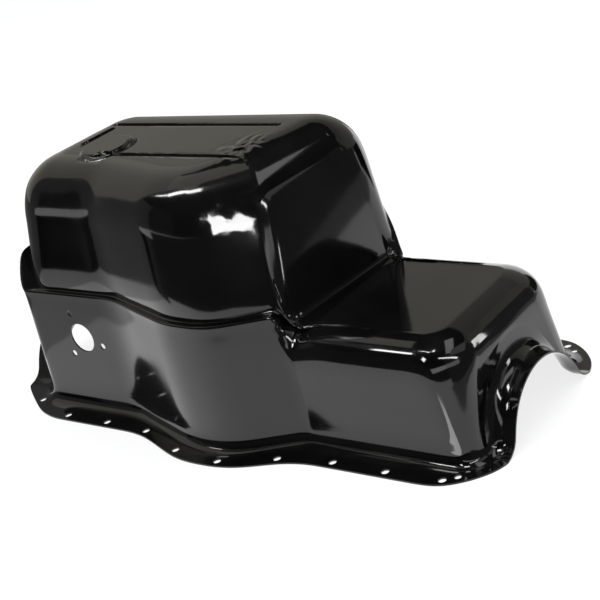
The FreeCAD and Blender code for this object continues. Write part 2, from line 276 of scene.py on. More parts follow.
def pressed_in(points, inset, side):
    """Plan points of a rail's ear on one side, moved in by the inset."""
    moved = []
    for index, (x, y) in enumerate(points):
        before, after = points[max(index - 1, 0)], points[min(index + 1, len(points) - 1)]
        along = unit(Vector((after[0] - before[0], after[1] - before[1])))
        across = Vector((along.y, -along.x))
        if across.dot(Vector((x, y))) > 0:
            across = -across
        moved.append(Vector((x * MM + across.x * inset, side * (y * MM + across.y * inset))))
    return moved


def rail_loop(inset):
    """Stations along the rail's edge, with its four cut corners."""
    loop = sample(RAIL, inset)
    parts = spans()
    ears = (("rear_near", REAR_EAR, -1), ("end_near", FRONT_EAR, -1), ("end_far", FRONT_EAR[::-1], 1),
            ("rear_far", REAR_EAR[::-1], 1))
    for name, points, side in ears:
        for index, point in zip(parts[name], pressed_in(points, inset, side)):
            loop[index] = point
    spread(loop, parts["far"], loop[parts["front_far"][-1]], loop[parts["rear_far"][0]])
    spread(loop, parts["shallow_near"], loop[parts["front_near"][-1]], loop[parts["end_near"][0]])
    spread(loop, parts["shallow_far"], loop[parts["end_far"][-1]], loop[parts["front_far"][0]])
    spread(loop, parts["rear"], loop[parts["rear_far"][-1]], loop[parts["rear_near"][0]])
    spread(loop, parts["front"], loop[parts["end_near"][-1]], loop[parts["end_far"][0]])
    return loop


def arch_profile(sizes):
    """Points and outward directions across one arch, from its near foot to its far foot."""
    radius, drop, fillet = sizes.arch_radius, sizes.arch_drop, sizes.foot_round + ARCH_FOOT_EXTRA
    foot_z = sizes.sheet + fillet
    centre_y = math.sqrt((radius + fillet) ** 2 - (foot_z + drop) ** 2)
    lowest = math.atan2(foot_z + drop, centre_y)
    half = [((-centre_y, sizes.sheet), (0.0, 1.0))]
    for share in (0.45, 0.9):
        turn = math.pi / 2 + (math.pi / 2 - lowest) * share
        away = Vector((math.cos(turn), math.sin(turn)))
        half.append(((-centre_y - away.x * fillet, foot_z - away.y * fillet), (away.x, away.y)))
    for step in range(ARCH_STEPS):
        angle = math.pi - lowest * 1.25 - (math.pi - 2.5 * lowest) * step / (ARCH_STEPS - 1)
        away = (math.cos(angle), math.sin(angle))
        half.append(((away[0] * radius, away[1] * radius - drop), away))
    for (y, z), (out_y, out_z) in reversed(half[:3]):
        half.append(((-y, z), (-out_y, out_z)))
    return half


def rear_order(profile):
    """Arch stations in the order of the rear end, which runs from the far side to the near side."""
    return [((-y, z), (-out_y, out_z)) for (y, z), (out_y, out_z) in profile]


# Rings of the cage. Lengths without MM are in millimetres, and the rest are shares and degrees.

ARCH_FOOT_EXTRA = 4 * MM
RIM = 1.6 * MM
BEND = 0.26
ARCH_WALL_REACH = 0.92
RAIL_RINGS = 6
SUMP_SUNK = 5 * MM
COVE_MIDDLE = 0.29
SHALLOW_WALL_RISE = 52
LEDGE_DROPS = (24, 5, 0.4)
DEEP_RISES = ((0.9, 2.4), (5.5, 1.8), (22, 0), (39, 0), (56, 0), (72, 0))
SHOULDER_RISES = ((16, 0), (33, 7), (39.5, 17.5))
REAR_RISES = (42, 48, 60, 72)
CROWN_TURNS = (-3, 24, 47, 69, 90)
TO_SHALLOW = (0.0, 0.06, 0.3, 0.72, 0.95, 1.0)
TO_DEEP = (1.0, 0.97, 0.8, 0.4, 0.08, 0.0)
FLOOR_BORDER = 6 * MM
FLOOR_LINE = (-150 * MM, 38 * MM)
WELD = 0.02 * MM
EASED_CORNERS = ((Vector((102, 81, 110)) * MM, 22 * MM), (Vector((102, -81, 110)) * MM, 14 * MM))


def lift(loop, height):
    """Plan loop placed at one height."""
    return [Vector((point.x, point.y, height)) for point in loop]


def between(first, second, share):
    """Loop between two loops of points."""
    return [a.lerp(b, share) for a, b in zip(first, second)]


def skirt_ring(sizes, height, inset=0.0):
    """Ring of the lower walls, whose end corners open out with height."""
    corners = mixed(SKIRT_FOOT, SKIRT, min(height / (FOOT_CORNER_HEIGHT * MM), 1.0))
    if height > TOP_CORNER_START * MM:
        share = (height - TOP_CORNER_START * MM) / (TOP_CORNER_RUN * MM)
        corners = mixed(SKIRT, SKIRT_TOP, min(share, 1.0))
    return lift(sample(corners, height * math.tan(sizes.wall_lean) + inset), height)


def sump_ring(sizes, height, inset=0.0):
    """Ring of the sump's walls."""
    low = sizes.shallow_height - SUMP_SUNK
    share = (height - low) / (sizes.sump_height - low)
    return lift(sump_loop(mixed(SUMP_LOW, SUMP_HIGH, share), inset), height)


def crown_ring(sizes, turn):
    """Ring on the sump's rounded upper edge."""
    angle = math.radians(turn)
    height = sizes.sump_height - sizes.crown_round * (1 - math.sin(angle))
    return sump_ring(sizes, height, sizes.crown_round * (1 - math.cos(angle)))


def arch_station(sizes, station, edge_x, rim_x, base, sign):
    """Points of the rail's rings at one station of a seal arch."""
    (y, z), (out_y, out_z) = station
    foot = sizes.foot_round
    wall_x = base * MM - sign * z * math.tan(sizes.wall_lean)
    foot_x = wall_x + sign * foot
    places = [
        (edge_x, 0), (rim_x, 0), ((rim_x + foot_x) / 2, 0), (foot_x, 0),
        (wall_x + sign * foot * BEND, BEND * foot), (wall_x, ARCH_WALL_REACH * foot)]
    return [Vector((x, y + out_y * reach, z + out_z * reach)) for x, reach in places]


def rail_rings(sizes):
    """Rings from the rail's edge to the foot of the walls, with the arches lifted over the crankshaft."""
    top, round_foot = sizes.sheet, sizes.foot_round
    edge, rim = lift(rail_loop(0), top), lift(rail_loop(RIM), top)
    foot = lift(sample(SKIRT_FOOT, -round_foot), top)
    bend = lift(sample(SKIRT_FOOT, -round_foot * BEND), top + round_foot * BEND)
    wall = skirt_ring(sizes, top + round_foot)
    rings = [edge, rim, between(rim, foot, 0.55), foot, bend, wall]
    parts = spans()
    profile = arch_profile(sizes)
    ends = (("front", profile, FRONT_X, 1), ("rear", rear_order(profile), REAR_X, -1))
    for name, stations, base, sign in ends:
        for index, station in zip(parts[name], stations):
            points = arch_station(sizes, station, edge[index].x, rim[index].x, base, sign)
            for ring, point in zip(rings, points):
                ring[index] = point
    return rings


def deep_rings(sizes):
    """Rings up the near and far walls of the deep end."""
    ledge = sizes.ledge_height
    rings = [skirt_ring(sizes, ledge - drop * MM) for drop in LEDGE_DROPS]
    for rise, inset in DEEP_RISES:
        rings.append(sump_ring(sizes, ledge + rise * MM, inset * MM))
    return rings


def shallow_rings(sizes):
    """Rings over the shallow end's edge, its floor and up the sump's front wall."""
    start = sizes.shallow_height - sizes.shallow_round
    half = math.sqrt(0.5)
    low = skirt_ring(sizes, start)
    middle = skirt_ring(sizes, start + sizes.shallow_round * half, sizes.shallow_round * (1 - half))
    end = skirt_ring(sizes, sizes.shallow_height, sizes.shallow_round)
    cove = sizes.cove_round
    cove_start = lift(sump_loop(SUMP_LOW, -cove), sizes.shallow_height)
    cove_middle = sump_ring(sizes, sizes.shallow_height + cove * COVE_MIDDLE, -cove * COVE_MIDDLE)
    cove_end = sump_ring(sizes, sizes.shallow_height + cove)
    wall = sump_ring(sizes, sizes.shallow_height + SHALLOW_WALL_RISE * MM)
    floor = [between(end, cove_start, share) for share in (0.12, 0.85)]
    return [low, middle, end, *floor, cove_start, cove_middle, cove_end, wall]


def rear_rings(sizes):
    """Rings up the rear wall and over the shoulder."""
    ledge = sizes.ledge_height
    base = ledge * math.tan(sizes.wall_lean) + 1 * MM
    rings = [skirt_ring(sizes, ledge - 20 * MM), skirt_ring(sizes, ledge)]
    for rise, inset in SHOULDER_RISES:
        rings.append(lift(sample(SKIRT, base + inset * MM), ledge + rise * MM))
    for rise in REAR_RISES:
        rings.append(sump_ring(sizes, ledge + rise * MM))
    return rings


def stretch_weights(known):
    """Weight of one profile at each station, from the weights of the stretches that have it."""
    weights = []
    for name, count in STATIONS.items():
        weights += known.get(name, (0.0,) * count)
    return weights


def blended_rings(sizes):
    """Wall rings in which the deep, shallow and rear profiles run into one another."""
    whole = {name: (1.0,) * count for name, count in STATIONS.items()}
    shallow_names = ("shallow_near", "end_near", "front", "end_far", "shallow_far")
    shallow = stretch_weights({
        **{name: whole[name] for name in shallow_names},
        "front_near": TO_SHALLOW, "front_far": TO_SHALLOW[::-1]})
    rear = stretch_weights({"rear_near": TO_DEEP, "rear_far": TO_DEEP[::-1], "rear": whole["rear"]})
    rings = []
    for deep_ring, shallow_ring, rear_ring in zip(deep_rings(sizes), shallow_rings(sizes), rear_rings(sizes)):
        ring = []
        for deep, low, back, share, rest in zip(deep_ring, shallow_ring, rear_ring, shallow, rear):
            ring.append(deep * (1 - share - rest) + low * share + back * rest)
        rings.append(ring)
    return rings


def floor_rings(sizes):
    """Rings over the sump's floor that close on its middle line."""
    edge = sump_ring(sizes, sizes.sump_height, sizes.crown_round + FLOOR_BORDER)
    parts = spans()
    rear_x, front_x = FLOOR_LINE
    middle = list(edge)
    for name, stations in parts.items():
        for index in stations:
            middle[index] = Vector((rear_x if "rear" in name else front_x, 0, sizes.sump_height))
    count = len(parts["near"])
    for step in range(count):
        x = rear_x + (front_x - rear_x) * (step + 1) / (count + 1)
        middle[parts["near"][step]] = Vector((x, 0, sizes.sump_height))
        middle[parts["far"][count - 1 - step]] = Vector((x, 0, sizes.sump_height))
    return [edge, between(edge, middle, 0.36), between(edge, middle, 0.7), middle]


def all_rings(sizes):
    """Every ring of the pressing, from the rail's edge to the middle of the sump's floor."""
    rings = rail_rings(sizes)
    walls = blended_rings(sizes)
    rings.append(between(rings[-1], walls[0], 0.33))
    rings.append(between(rings[-2], walls[0], 0.7))
    rings += walls
    rings += [crown_ring(sizes, turn) for turn in CROWN_TURNS]
    return rings + floor_rings(sizes)


def ease_corner(cage, place, reach):
    """Smooth the cage round one corner where three walls and a floor meet."""
    near = [vertex for vertex in cage.verts if (vertex.co - place).length < reach]
    for _ in range(3):
        bmesh.ops.smooth_vert(cage, verts=near, factor=0.5, use_axis_x=True, use_axis_y=True, use_axis_z=True)


def pressed_cage(sizes):
    """Mesh of the pressing's outer face, a grid wrapped round ring by ring from the rail's edge."""
    rings = all_rings(sizes)
    cage = bmesh.new()
    grid = bmesh.ops.create_grid(cage, x_segments=len(rings[0]), y_segments=len(rings) - 1, size=1.0)["verts"]
    places = [place for ring in rings for place in (*ring, ring[0])]
    for vertex, place in zip(grid, places):
        vertex.co = place
    bmesh.ops.remove_doubles(cage, verts=cage.verts, dist=WELD)
    for place, reach in EASED_CORNERS:
        ease_corner(cage, place, reach)
    bmesh.ops.recalc_face_normals(cage, faces=cage.faces)
    return cage


# Marks pressed into the fine mesh. A groove is its place across and its two ends, a crumpled spot
# is its centre, its reach, the depth of its folds and their grain.

REAR_WALL_X = -190 * MM
GROOVES = ((30 * MM, -150 * MM, 52 * MM), (-37 * MM, -105 * MM, 58 * MM))
PAD = Vector((-114, -22)) * MM
PAD_RADIUS = 25 * MM
PAD_EDGE = 2 * MM
CRESCENT_FACING = Vector((0.8, -0.6))
CRESCENT_REACH = 1.6
CRESCENT_WIDTH = 1.6
SEAT_EDGE = 4 * MM
FLANKS = (-1.15, -1.05, -0.95, -0.85, -0.75, 0.75, 0.85, 0.95, 1.05, 1.15)
FLOOR_SLACK = 1.5 * MM
SNAP = 0.01 * MM
DRAIN = Vector((-217, 0, 192)) * MM
CRUMPLES = (
    (Vector((48, -20, 250)) * MM, 24 * MM, 2.2 * MM, 9 * MM),
    (Vector((92, -70, 116)) * MM, 14 * MM, 2.4 * MM, 8 * MM),
    (Vector((280, -66, 18)) * MM, 14 * MM, 1.2 * MM, 9 * MM),
    (Vector((66, -82, 214)) * MM, 20 * MM, 0.9 * MM, 9 * MM),
)


def smooth_step(value):
    """Share from zero to one that starts and ends level."""
    value = min(max(value, 0.0), 1.0)
    return value * value * (3 - 2 * value)


def steep(value):
    """Share from zero to one over a short way round the value one."""
    return smooth_step((value - 0.75) / 0.4)


def groove_dip(x, y, groove, half_width):
    """Depth share of a steep-sided groove that runs along the sump."""
    centre_y, start_x, end_x = groove
    along = max(start_x - x, x - end_x, 0.0)
    away = math.hypot(along, y - centre_y)
    return 1 - steep(away / half_width)


def floor_marks(sizes, place):
    """Change of height of a point on the sump's floor."""
    half = sizes.groove_half_width
    change = -sizes.groove_depth * max(groove_dip(place.x, place.y, groove, half) for groove in GROOVES)
    from_pad = (place.xy - PAD).length
    facing = smooth_step((place.xy - PAD).dot(CRESCENT_FACING) / PAD_RADIUS * CRESCENT_REACH)
    change -= sizes.groove_depth * facing * (1 - steep(abs(from_pad - PAD_RADIUS) / half / CRESCENT_WIDTH))
    return change + sizes.pad_rise * smooth_step((PAD_RADIUS - from_pad) / PAD_EDGE + 0.5)


def seat_shift(sizes, place):
    """How far a point of the rear wall moves to lie on the drain's flat seat."""
    away = (place.yz - DRAIN.yz).length
    return (DRAIN.x - place.x) * smooth_step((sizes.seat_radius + SEAT_EDGE - away) / SEAT_EDGE)


def crumple(place, centre, reach, depth, grain):
    """Shift of a point in a crumpled spot of the sheet."""
    share = smooth_step(1.5 - (place - centre).length / reach)
    return (abs(noise.noise(place / grain)) - 0.25) * depth * share


def cut_along(fine, faces, place, across):
    """Cut some faces along one plane."""
    parts = {item for face in faces for item in (face, *face.edges, *face.verts)}
    bmesh.ops.bisect_plane(fine, geom=list(parts), plane_co=place, plane_no=across, dist=SNAP)


def refine_marks(sizes, fine, top):
    """Add edges along both flanks of the grooves and over the pad's border."""
    half = sizes.groove_half_width
    for centre_y, start_x, end_x in GROOVES:
        for step in FLANKS:
            y = centre_y + step * half
            faces = []
            for face in fine.faces:
                middle = face.calc_center_median()
                beside = abs(middle.y - y) < 6 * MM and start_x - 2 * half < middle.x < end_x + 2 * half
                if beside and middle.z > top:
                    faces.append(face)
            cut_along(fine, faces, (0, y, 0), (0, 1, 0))
    border = {vertex for vertex in fine.verts
              if vertex.co.z > top and abs((vertex.co.xy - PAD).length - PAD_RADIUS) < 9 * MM}
    bordering = [edge for edge in fine.edges if border.issuperset(edge.verts)]
    bmesh.ops.subdivide_edges(fine, edges=bordering, cuts=3, use_grid_fill=True)


def press_marks(sizes, mesh):
    """Press the grooves, the pad, the drain's seat and the crumpled spots into the fine mesh."""
    fine = bmesh.new()
    fine.from_mesh(mesh)
    top = sizes.sump_height - FLOOR_SLACK
    refine_marks(sizes, fine, top)
    for vertex in fine.verts:
        if vertex.co.z > top:
            vertex.co.z += floor_marks(sizes, vertex.co)
        elif vertex.co.x < REAR_WALL_X:
            vertex.co.x += seat_shift(sizes, vertex.co)
    fine.normal_update()
    for centre, reach, depth, grain in CRUMPLES:
        for vertex in fine.verts:
            if (vertex.co - centre).length < 1.5 * reach:
                vertex.co += vertex.normal * crumple(vertex.co, centre, reach, depth, grain)
    fine.to_mesh(mesh)
    fine.free()


def evaluated_mesh(holder, name):
    """Mesh of an object with its modifiers applied."""
    graph = bpy.context.evaluated_depsgraph_get()
    mesh = bpy.data.meshes.new_from_object(holder.evaluated_get(graph))
    mesh.name = name
    return mesh


def put(name, mesh):
    """New object with a mesh, in the scene."""
    thing = bpy.data.objects.new(name, mesh)
    bpy.context.scene.collection.objects.link(thing)
    return thing


# Holes. Radii, depths of the cutters and places are in millimetres.

BOLTS_PER_SIDE = 10
BOLT_PITCH = 55
BOLT_EDGE = 7.5
BOLT_RADIUS = 3.5
LOCATING_HOLE = (258, 101)
LOCATING_RADIUS = 3
RAIL_CUT = 12
SENSOR_X, SENSOR_Z = -164, 77
SENSOR_RADIUS = 15
SCREW_CIRCLE = 26.5
SCREW_RADIUS = 3.2
SCREW_TURNS = (105, 225, 345)
WALL_CUT = 14
DRAIN_RADIUS = 7.5


def rail_edge_y(loop, x, side):
    """Distance across at which a rail loop is met at one place along the engine."""
    for index, here in enumerate(loop):
        after = loop[(index + 1) % len(loop)]
        if here.y * side > 0.05 and (here.x - x) * (after.x - x) <= 0 and here.x != after.x:
            return here.y + (after.y - here.y) * (x - here.x) / (after.x - here.x)
    raise ValueError("no rail at this place")


def hole_cutter(radius, depth, place, axis):
    """Round cutter centred on a place."""
    tool = bmesh.new()
    turn = Vector((0, 0, 1)).rotation_difference(Vector(axis)).to_matrix().to_4x4()
    bmesh.ops.create_cone(
        tool, cap_ends=True, segments=32, radius1=radius, radius2=radius, depth=depth,
        matrix=Matrix.Translation(place) @ turn)
    return tool


def join_tools(tools):
    """One mesh of all the cutters."""
    mesh = bpy.data.meshes.new("pan_cutters")
    whole = bmesh.new()
    for tool in tools:
        tool.to_mesh(mesh)
        whole.from_mesh(mesh)
        tool.free()
    whole.to_mesh(mesh)
    whole.free()
    return mesh


def pan_cutters(sizes):
    """Cutters of the bolt holes, locating holes, sensor opening, its screws and the drain."""
    loop = rail_loop(BOLT_EDGE * MM)
    tools = []
    for index in range(BOLTS_PER_SIDE):
        x = (index - (BOLTS_PER_SIDE - 1) / 2) * BOLT_PITCH * MM
        for side in (-1, 1):
            place = Vector((x, rail_edge_y(loop, x, side), 0))
            tools.append(hole_cutter(BOLT_RADIUS * MM, RAIL_CUT * MM, place, (0, 0, 1)))
    for side in (-1, 1):
        place = Vector((LOCATING_HOLE[0] * MM, side * LOCATING_HOLE[1] * MM, 0))
        tools.append(hole_cutter(LOCATING_RADIUS * MM, RAIL_CUT * MM, place, (0, 0, 1)))
    lean = sizes.wall_lean
    axis = (0, math.cos(lean), -math.sin(lean))
    centre = Vector((SENSOR_X, SIDE_Y + SENSOR_Z * math.tan(lean), SENSOR_Z)) * MM
    tools.append(hole_cutter(SENSOR_RADIUS * MM, WALL_CUT * MM, centre, axis))
    for turn in SCREW_TURNS:
        angle = math.radians(turn)
        away = Vector((math.cos(angle), math.sin(lean) * math.sin(angle), math.sin(angle)))
        place = centre + away * SCREW_CIRCLE * MM
        tools.append(hole_cutter(SCREW_RADIUS * MM, WALL_CUT * MM, place, axis))
    tools.append(hole_cutter(DRAIN_RADIUS * MM, RAIL_CUT * MM, DRAIN, (1, 0, 0)))
    return join_tools(tools)


def pass_through(holder):
    """Move a cage's points until its smooth surface runs through the places they started from."""
    points = holder.data.vertices
    targets = [vertex.co.copy() for vertex in points]
    highest = max(target.z for target in targets)
    start = RAIL_RINGS * sum(STATIONS.values())
    for _ in range(3):
        smooth = evaluated_mesh(holder, "pan_trial")
        for index in range(start, len(points)):
            if targets[index].z < highest - 0.1 * MM:
                points[index].co += (targets[index] - smooth.vertices[index].co) * 0.7
        bpy.data.meshes.remove(smooth)


def smooth_face(sizes):
    """Holder of the pressing's smooth outer face with its marks."""
    cage = pressed_cage(sizes)
    mesh = bpy.data.meshes.new("pan_cage")
    cage.to_mesh(mesh)
    cage.free()
    holder = put("pan_holder", mesh)
    fine = holder.modifiers.new("Smooth pressing", "SUBSURF")
    fine.levels = fine.render_levels = 1
    pass_through(holder)
    fine.levels = fine.render_levels = 2
    smooth = evaluated_mesh(holder, "pan_smooth")
    press_marks(sizes, smooth)
    holder.modifiers.clear()
    holder.data = smooth
    return holder


def keep_inside(mesh, low, high):
    """Bring the points that lie past a box back to its faces."""
    for vertex in mesh.vertices:
        vertex.co = [min(max(value, least), most) for value, least, most in zip(vertex.co, low, high)]


def pan_mesh(sizes):
    """The finished pressing: smooth outer face, marks, sheet thickness and holes."""
    holder = smooth_face(sizes)
    wall = holder.modifiers.new("Sheet", "SOLIDIFY")
    wall.thickness = sizes.sheet
    wall.offset = -1.0
    wall.shell_vertex_group = holder.vertex_groups.new(name="inside").name
    thin = holder.modifiers.new("Coarser inside", "DECIMATE")
    thin.ratio = 0.72
    thin.vertex_group = "inside"
    tools = put("pan_tools", pan_cutters(sizes))
    holes = holder.modifiers.new("Holes", "BOOLEAN")
    holes.operation = "DIFFERENCE"
    holes.solver = "EXACT"
    holes.object = tools
    solid = evaluated_mesh(holder, "pan_body")
    bpy.data.objects.remove(holder)
    bpy.data.objects.remove(tools)
    keep_inside(solid, *cad_box)
    for face in solid.polygons:
        face.use_smooth = True
    solid.set_sharp_from_angle(angle=math.radians(60))
    return solid


# Finishes


def add(tree, kind, **inputs):
    """Node with some of its inputs set."""
    node = tree.nodes.new(kind)
    for name, value in inputs.items():
        node.inputs[name.replace("_", " ")].default_value = value
    return node


def gloss_black(look):
    """Gloss black paint on pressed steel, a little uneven in colour, gloss and surface."""
    paint = bpy.data.materials.new("gloss_black_paint")
    paint.use_nodes = True
    tree = paint.node_tree
    shader = tree.nodes["Principled BSDF"]
    link = tree.links.new
    place = tree.nodes.new("ShaderNodeTexCoord")
    patches = add(tree, "ShaderNodeTexNoise", Scale=14.0, Detail=3.0, Roughness=0.55)
    link(place.outputs["Object"], patches.inputs["Vector"])
    tone = tree.nodes.new("ShaderNodeValToRGB")
    tone.color_ramp.elements[0].position = 0.35
    tone.color_ramp.elements[0].color = (*look.black, 1)
    tone.color_ramp.elements[1].position = 0.75
    tone.color_ramp.elements[1].color = (*look.sheen_black, 1)
    link(patches.outputs["Fac"], tone.inputs["Fac"])
    link(tone.outputs["Color"], shader.inputs["Base Color"])
    gloss = add(tree, "ShaderNodeMapRange", To_Min=look.roughness - 0.035, To_Max=look.roughness + 0.06)
    link(patches.outputs["Fac"], gloss.inputs["Value"])
    link(gloss.outputs["Result"], shader.inputs["Roughness"])
    waves = add(tree, "ShaderNodeTexNoise", Scale=22.0, Detail=1.0)
    peel = add(tree, "ShaderNodeTexNoise", Scale=420.0, Detail=2.0)
    for texture in (waves, peel):
        link(place.outputs["Object"], texture.inputs["Vector"])
    dents = add(tree, "ShaderNodeBump", Strength=0.35, Distance=0.0005)
    skin = add(tree, "ShaderNodeBump", Strength=0.12, Distance=0.00006)
    link(waves.outputs["Fac"], dents.inputs["Height"])
    link(peel.outputs["Fac"], skin.inputs["Height"])
    link(dents.outputs["Normal"], skin.inputs["Normal"])
    link(skin.outputs["Normal"], shader.inputs["Normal"])
    shader.inputs["Specular IOR Level"].default_value = 0.5
    return paint


def brushed_metal(name, colour, roughness):
    """Plated or soft metal with fine scratches."""
    metal = bpy.data.materials.new(name)
    metal.use_nodes = True
    tree = metal.node_tree
    shader = tree.nodes["Principled BSDF"]
    link = tree.links.new
    place = tree.nodes.new("ShaderNodeTexCoord")
    grain = add(tree, "ShaderNodeTexNoise", Scale=260.0, Detail=4.0)
    link(place.outputs["Object"], grain.inputs["Vector"])
    tone = tree.nodes.new("ShaderNodeValToRGB")
    tone.color_ramp.elements[0].color = (*[value * 0.72 for value in colour], 1)
    tone.color_ramp.elements[1].color = (*colour, 1)
    link(grain.outputs["Fac"], tone.inputs["Fac"])
    link(tone.outputs["Color"], shader.inputs["Base Color"])
    gloss = add(tree, "ShaderNodeMapRange", To_Min=roughness - 0.08, To_Max=roughness + 0.12)
    link(grain.outputs["Fac"], gloss.inputs["Value"])
    link(gloss.outputs["Result"], shader.inputs["Roughness"])
    relief = add(tree, "ShaderNodeBump", Strength=0.2, Distance=0.00008)
    link(grain.outputs["Fac"], relief.inputs["Height"])
    link(relief.outputs["Normal"], shader.inputs["Normal"])
    shader.inputs["Metallic"].default_value = 1.0
    return metal


def finish_with(thing, material):
    """One material all over an object."""
    thing.data.materials.clear()
    thing.data.materials.append(material)


# Pieces and stage


class OILPAN_OT_pressing(Operator):
    """Build the painted pressing that stands for the pan"""
    bl_idname = "oilpan.pressing"
    bl_label = "Pressing"

    def execute(self, context):
        body = put("pan_body", pan_mesh(context.scene.pan_sizes))
        finish_with(body, gloss_black(context.scene.paint_look))
        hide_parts("pan_shell")
        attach(body, "root")
        return {"FINISHED"}


class OILPAN_OT_drain(Operator):
    """Finish the drain's nut, washer and plug"""
    bl_idname = "oilpan.drain"
    bl_label = "Drain"

    def execute(self, context):
        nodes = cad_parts
        finish_with(nodes["drain_nut"], gloss_black(context.scene.paint_look))
        finish_with(nodes["drain_washer"], brushed_metal("washer_metal", (0.62, 0.62, 0.6), 0.38))
        finish_with(nodes["drain_plug"], brushed_metal("plug_steel", (0.42, 0.41, 0.38), 0.32))
        return {"FINISHED"}


class OILPAN_OT_stage(Operator):
    """Set the floor, the lamps and the camera"""
    bl_idname = "oilpan.stage"
    bl_label = "Stage"

    def execute(self, context):
        look = context.scene.stage_look
        make_floor(look)
        make_world()
        make_lamps()
        make_cards()
        make_camera(look)
        context.scene.view_settings.view_transform = "Standard"
        return {"FINISHED"}


def make_floor(look):
    """Pale floor that stays white in the picture and keeps a soft shadow."""
    bpy.ops.mesh.primitive_plane_add(size=16)
    floor = bpy.context.object
    floor.name = "floor"
    pale = bpy.data.materials.new("pale_floor")
    pale.use_nodes = True
    tree = pale.node_tree
    link = tree.links.new
    shader = tree.nodes["Principled BSDF"]
    shader.inputs["Base Color"].default_value = (*look.floor_white, 1)
    shader.inputs["Roughness"].default_value = 0.9
    shader.inputs["Specular IOR Level"].default_value = 0.0
    path = tree.nodes.new("ShaderNodeLightPath")
    glow = add(tree, "ShaderNodeEmission")
    strength = add(tree, "ShaderNodeMapRange", To_Min=1.0, To_Max=1.35)
    link(path.outputs["Is Glossy Ray"], strength.inputs["Value"])
    link(strength.outputs["Result"], glow.inputs["Strength"])
    share = add(tree, "ShaderNodeMapRange", To_Min=0.8, To_Max=1.0)
    link(path.outputs["Is Glossy Ray"], share.inputs["Value"])
    seen = tree.nodes.new("ShaderNodeMath")
    seen.operation = "MULTIPLY"
    link(seen_rays(tree), seen.inputs[0])
    link(share.outputs["Result"], seen.inputs[1])
    mix = tree.nodes.new("ShaderNodeMixShader")
    link(seen.outputs[0], mix.inputs["Fac"])
    link(shader.outputs["BSDF"], mix.inputs[1])
    link(glow.outputs["Emission"], mix.inputs[2])
    link(mix.outputs["Shader"], tree.nodes["Material Output"].inputs["Surface"])
    floor.data.materials.append(pale)


def seen_rays(tree):
    """One for the rays that show the background: to the camera, in gloss and through glass."""
    path = tree.nodes.new("ShaderNodeLightPath")
    total = path.outputs["Is Camera Ray"]
    for name in ("Is Glossy Ray", "Is Transmission Ray"):
        larger = tree.nodes.new("ShaderNodeMath")
        larger.operation = "MAXIMUM"
        tree.links.new(total, larger.inputs[0])
        tree.links.new(path.outputs[name], larger.inputs[1])
        total = larger.outputs[0]
    return total


def make_world():
    """White background with a plain soft fill."""
    world = bpy.data.worlds.new("studio")
    bpy.context.scene.world = world
    world.use_nodes = True
    tree = world.node_tree
    fill = tree.nodes["Background"]
    fill.inputs["Color"].default_value = (0.9, 0.92, 0.95, 1)
    fill.inputs["Strength"].default_value = 1.0
    white = add(tree, "ShaderNodeBackground", Strength=1.0)
    white.inputs["Color"].default_value = (1, 1, 1, 1)
    mix = tree.nodes.new("ShaderNodeMixShader")
    tree.links.new(seen_rays(tree), mix.inputs["Fac"])
    tree.links.new(fill.outputs[0], mix.inputs[1])
    tree.links.new(white.outputs[0], mix.inputs[2])
    tree.links.new(mix.outputs[0], tree.nodes["World Output"].inputs["Surface"])


def aim(thing, place, target):
    """Place a lamp or card so that its face looks at a target."""
    thing.location = place
    thing.rotation_euler = (Vector(target) - Vector(place)).to_track_quat("-Z", "Y").to_euler()


def lamp(name, place, target, size, power):
    """Soft rectangular lamp."""
    light = bpy.data.lights.new(name, "AREA")
    light.shape = "RECTANGLE"
    light.size, light.size_y = size
    light.energy = power
    thing = bpy.data.objects.new(name, light)
    bpy.context.scene.collection.objects.link(thing)
    aim(thing, place, target)
    return thing


def make_lamps():
    """One large soft lamp overhead."""
    lamp("overhead_softbox", (0.2, 0.1, 2.0), (0, 0, 0.1), (1.6, 1.2), 26)


PAN_MIDDLE = (0, 0, 0.1)
WARM = (1.0, 0.977, 0.86)
NEUTRAL = (1.0, 1.0, 1.0)


def card(name, place, target, size, tone, tint=NEUTRAL):
    """Glowing card that only gloss reflects: painted light where its tone is bright and painted shade where
    it is dark, in the paint's reflections.
    """
    bpy.ops.mesh.primitive_plane_add(size=1)
    thing = bpy.context.object
    thing.name = name
    thing.scale = (size[0], size[1], 1)
    aim(thing, place, target)
    glowing_card_material = bpy.data.materials.new(name)
    glowing_card_material.use_nodes = True
    tree = glowing_card_material.node_tree
    # Emission colour of the card: bright tones paint light and dark tones paint shade into the paint's
    # reflections.
    glow = add(tree, "ShaderNodeEmission", Strength=1.0)
    glow.inputs["Color"].default_value = (*[tone * share for share in tint], 1)
    tree.links.new(glow.outputs[0], tree.nodes["Material Output"].inputs["Surface"])
    thing.data.materials.append(glowing_card_material)
    thing.visible_camera = False
    thing.visible_diffuse = False
    thing.visible_shadow = False
    thing.visible_transmission = False
    return thing


def wall_card(name, start, end, height, tone, foot=0.0, tint=NEUTRAL):
    """Card standing on the floor between two plan points."""
    middle = ((start[0] + end[0]) / 2, (start[1] + end[1]) / 2, foot + height / 2)
    across = Vector((end[0] - start[0], end[1] - start[1]))
    target = (middle[0] - across.y, middle[1] + across.x, middle[2])
    return card(name, middle, target, (across.length, height), tone, tint)


def flat_card(name, start, end, height, tone, tint=NEUTRAL):
    """Level card between two plan corners."""
    middle = ((start[0] + end[0]) / 2, (start[1] + end[1]) / 2)
    size = (abs(end[0] - start[0]), abs(end[1] - start[1]))
    return card(name, (*middle, height), (*middle, height + 1), size, tone, tint)


def strip_lamp(name, start, end, width, tone):
    """Long bright strip hung between two places, facing the pan, that only gloss reflects."""
    start, end = Vector(start), Vector(end)
    middle = (start + end) / 2
    thing = card(name, middle, PAN_MIDDLE, (1, 1), tone)
    along = unit(end - start)
    facing = -unit(Vector(PAN_MIDDLE) - middle)
    across = unit(facing.cross(along))
    facing = along.cross(across)
    thing.rotation_euler = Matrix((along, across, facing)).transposed().to_euler()
    thing.scale = ((end - start).length, width, 1)
    return thing


